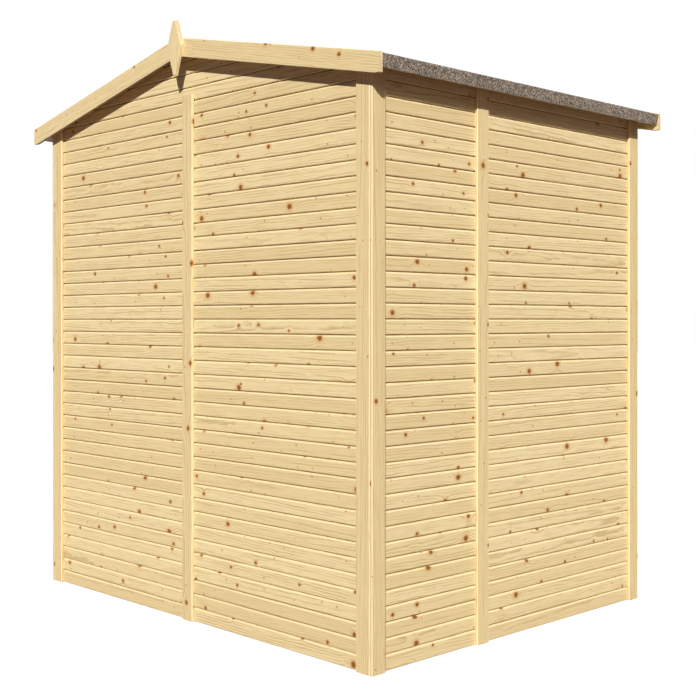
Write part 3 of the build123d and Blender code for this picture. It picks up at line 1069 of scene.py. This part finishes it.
# %% Lay the felt on both slopes
felt_dice = random.Random(7)
slopes = (
    ("felt_right_sheet", "felt_right", 0),
    ("felt_left_sheet", "felt_left", math.pi),
)
for name, sheet, turn in slopes:
    felt = fold_sheet(felt_dice)
    thicken_sheet(felt)
    felt.rotation_euler = (0, pitch, turn)
    felt.location = (0, 0, ridge_underside + deck_thickness / math.cos(pitch))
    settle(felt)
    felt.name = name
    felt.data.name = name
    dress(felt, felt_finish, "roofing_felt", sheet)
    print(f"{name}: {len(felt.data.polygons)} faces")

# %% [markdown]
# ## The timber that stays as it is packed
# Finials, turn buttons, frames, rails and decks have the right shape already, so they stay as they
# are and only get a finish, and so does the felt strip along the ridge. Which finish depends on the
# way that the timber runs, so that its grain follows its length.

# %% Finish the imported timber
def finish_node(name, finish):
    """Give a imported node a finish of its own, in the slot that it already has."""
    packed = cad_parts[name]
    if not packed.material_slots:
        packed.data.materials.append(finish)
    for slot in packed.material_slots:
        slot.material = finish


packed_pieces = (
    (upright_finish, "finials"),
    (level_finish, "door_turn_buttons"),
    (sawn_finish["x"], "floor_joists rear_rails front_rails door_ledges"),
    (sawn_finish["y"], "floor_deck right_rails left_rails ridge_beam eaves_rails"),
    (sawn_finish["y"], "roof_deck_left roof_deck_right"),
    (sawn_finish["z"], "rear_studs front_studs right_studs left_studs"),
    (sawn_finish["roof"], "gable_rafters verge_rails"),
    (felt_finish, "ridge_felt"),
)
for finish, names in packed_pieces:
    for name in names.split():
        finish_node(name, finish)
    print(f"{finish.name}: {names}")

# %% [markdown]
# ## Zinc plated steel
# The hinges are plain pressed steel with a dull zinc coat, which has a faint mottle. One even grey
# would look like plastic, so fine noise mixes two greys, and the sheen follows it.

# %% The finish of the hinges
zinc_dark = (0.36, 0.37, 0.38, 1.0)
zinc_light = (0.52, 0.53, 0.54, 1.0)
mottle_scale = 160.0
mottle_fade = (0.3, 0.7)
zinc_rough_spread = 0.2
zinc_rough_least = 0.34
zinc_metal = 0.9


def make_zinc_finish():
    """Dull zinc: a soft mottle of grey, rougher where it is lighter."""
    finish, tree, shader = start_finish("zinc_plate")
    coords = node(tree, "ShaderNodeTexCoord").outputs["Object"]
    inputs = {"Vector": coords, "Scale": mottle_scale, "Detail": 3.0}
    mottle = node(tree, "ShaderNodeTexNoise", inputs).outputs["Fac"]
    colour = blend(tree, fade(tree, mottle, *mottle_fade), zinc_dark, zinc_light)
    rough = calc(tree, "MULTIPLY_ADD", mottle, zinc_rough_spread, zinc_rough_least)
    tree.links.new(colour, shader.inputs["Base Color"])
    tree.links.new(rough, shader.inputs["Roughness"])
    shader.inputs["Metallic"].default_value = zinc_metal
    return finish


zinc_finish = make_zinc_finish()
finish_node("door_hinges", zinc_finish)
print("finish of the hinges:", zinc_finish.name)

# %% [markdown]
# ## Screws
# Each leaf of a hinge is held by three screws, and each turn button pivots on one. The head is
# turned once, as a short cylinder whose rim is bevelled round and whose top is inset and pushed in
# for the driver, and then it is copied to every place.

# %% Turn a screw head
screw_radius = 0.0040
screw_rise = 0.0018
screw_sides = 20
rim_share = 0.6
recess_rim_share = 0.25
recess_share = 0.6
screw_smooth_angle = math.radians(35)


def turn_screw():
    """One screw head that stands on y = 0 and faces +Y."""
    bpy.ops.object.select_all(action="DESELECT")
    bpy.ops.mesh.primitive_cylinder_add(
        vertices=screw_sides,
        radius=screw_radius,
        depth=screw_rise,
        location=(0, screw_rise / 2, 0),
        rotation=(-math.pi / 2, 0, 0),
    )
    head = bpy.context.object
    settle(head)
    push = (0, -recess_share * screw_rise, 0)
    bpy.ops.object.mode_set(mode="EDIT")
    pick_edges_at(head, lambda p: p.y > screw_rise - hair)
    bpy.ops.mesh.bevel(offset=rim_share * screw_rise, segments=3, profile=round_cut)
    pick_edges_at(head, lambda p: p.y > screw_rise - hair / 2)
    bpy.ops.mesh.select_mode(type="FACE")
    bpy.ops.mesh.inset(thickness=recess_rim_share * screw_radius)
    bpy.ops.mesh.extrude_region_move(TRANSFORM_OT_translate={"value": push})
    bpy.ops.object.mode_set(mode="OBJECT")
    bpy.ops.object.shade_smooth_by_angle(angle=screw_smooth_angle)
    return head


print(f"screw heads {screw_radius * 2000:.0f} mm across")

# %% Find the places of the screws
hinge_low, hinge_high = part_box("door_hinges")
button_low, button_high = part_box("door_turn_buttons")
hinge_height = 0.075
leaf_thickness = 0.002
leaf_middle_share = 0.57
button_width = 0.026
hinge_middle = (hinge_low + hinge_high) / 2
leaf_middle = leaf_middle_share * (hinge_high.x - hinge_middle.x)
leaf_face = hinge_low.y + leaf_thickness
hinge_heights = (hinge_low.z + hinge_height / 2, hinge_middle.z, hinge_high.z - hinge_height / 2)
button_heights = (button_low.z + button_width / 2, button_high.z - button_width / 2)
button_middle = (button_low.x + button_high.x) / 2
screw_places = [
    (hinge_middle.x + side * leaf_middle, leaf_face, height + row * hinge_height / 3)
    for height in hinge_heights
    for side in (-1, 1)
    for row in (-1, 0, 1)
]
screw_places += [(button_middle, button_high.y, height) for height in button_heights]
print("places for screws:", len(screw_places))

# %% Drive the screws
screw_head = turn_screw()
screws = []
for place in screw_places:
    screw = twin(screw_head)
    screw.location = place
    screws.append(screw)
bpy.data.objects.remove(screw_head)
dress(join(screws, "door_screws"), zinc_finish, "zinc_steel")
print("screws driven:", len(screws))

# %% [markdown]
# ## Floor and sky
# The shed stands on a plain floor under a plain sky. Both look white to the camera but throw only
# a little warm light on the shed, so that the eaves keep the deep shade that shows how far they
# reach. A bright white floor would be simpler, but it would light the underside of the roof. The
# Light Path node tells the two kinds of ray apart.

# %% Make the floor and the sky
floor_size = 60
floor_drop = -0.001
floor_seen = (0.9, 0.9, 0.9, 1.0)
floor_bounce = (0.115, 0.070, 0.070, 1.0)
floor_glow = 0.5
sky_seen = (1.0, 1.0, 1.0, 1.0)
sky_light = (0.014, 0.010, 0.011, 1.0)


def seen_directly(tree):
    """1 for rays that show a surface itself: straight, mirrored or through glass."""
    path = node(tree, "ShaderNodeLightPath").outputs
    mirrored = calc(tree, "MAXIMUM", path["Is Glossy Ray"], path["Is Transmission Ray"])
    return calc(tree, "MAXIMUM", path["Is Camera Ray"], mirrored)


def make_floor():
    """A wide pale floor that keeps the shadow of the shed."""
    bpy.ops.object.select_all(action="DESELECT")
    bpy.ops.mesh.primitive_plane_add(size=floor_size, location=(0, 0, floor_drop))
    floor = bpy.context.object
    floor.name = "floor"
    finish = bpy.data.materials.new("pale_floor")
    finish.use_nodes = True
    tree = finish.node_tree
    tree.nodes.clear()
    seen = seen_directly(tree)
    tint = blend(tree, seen, floor_bounce, floor_seen)
    matt = node(tree, "ShaderNodeBsdfDiffuse", {"Color": tint})
    glow = node(tree, "ShaderNodeEmission", {"Strength": calc(tree, "MULTIPLY", seen, floor_glow)})
    both = node(tree, "ShaderNodeAddShader", {0: matt.outputs[0], 1: glow.outputs[0]})
    node(tree, "ShaderNodeOutputMaterial", {"Surface": both.outputs[0]})
    floor.data.materials.append(finish)


def make_sky():
    """A dim warm sky that looks white where it is seen."""
    world = bpy.data.worlds.new("studio")
    bpy.context.scene.world = world
    world.use_nodes = True
    tree = world.node_tree
    tree.nodes.clear()
    dim = node(tree, "ShaderNodeBackground", {"Color": sky_light}).outputs[0]
    white = node(tree, "ShaderNodeBackground", {"Color": sky_seen}).outputs[0]
    sky = node(tree, "ShaderNodeMixShader", {0: seen_directly(tree), 1: dim, 2: white})
    node(tree, "ShaderNodeOutputWorld", {"Surface": sky.outputs[0]})


make_floor()
make_sky()
print(f"floor of {floor_size} m and a plain sky")

# %% [markdown]
# ## Light
# A low sun behind the camera lights the rear gable and the right wall, and throws the crisp shadow
# of the roof on them. A broad side light reaches the right wall from above, so that it isn't
# darker than the gable, and a broad fill lights the two walls that the sun leaves out. Suns are
# used for all three, because their light is even over the whole shed.

# %% Make the lights
def make_sun(name, travel, strength, spread):
    """A sun whose light travels along a direction, with its spread in degrees."""
    lamp = bpy.data.lights.new(name, "SUN")
    lamp.energy = strength
    lamp.angle = math.radians(spread)
    sun = bpy.data.objects.new(name, lamp)
    sun.rotation_euler = Vector(travel).to_track_quat("-Z", "Y").to_euler()
    bpy.context.collection.objects.link(sun)
    print(f"{name}: strength {strength}, spread {spread} degrees")


make_sun("sun", (-0.578, 0.681, -0.449), strength=4.05, spread=0.8)
make_sun("side_light", (-0.75, 0.06, -0.66), strength=0.50, spread=35.0)
make_sun("fill", (0.62, -0.60, -0.50), strength=2.4, spread=60.0)

# %% [markdown]
# ## Camera
# The camera stands off the corner between the rear gable and the right wall, about a metre above
# the ground. It looks level, so that the corners of the shed stay upright, and a small shift of
# the lens, in place of a tilt, brings the whole shed into the frame.

# %% Place the camera
eye = (3.363, -3.177, 1.047)
heading = math.radians(46.0)
camera_data = bpy.data.cameras.new("camera")
camera_data.lens = 61.23
camera_data.sensor_width = 36.0
camera_data.shift_y = -0.0395
camera = bpy.data.objects.new("camera", camera_data)
camera.location = eye
camera.rotation_euler = (math.pi / 2, 0, heading)
bpy.context.collection.objects.link(camera)
bpy.context.scene.camera = camera
bpy.context.scene.view_settings.view_transform = "Standard"
print("camera at", eye)
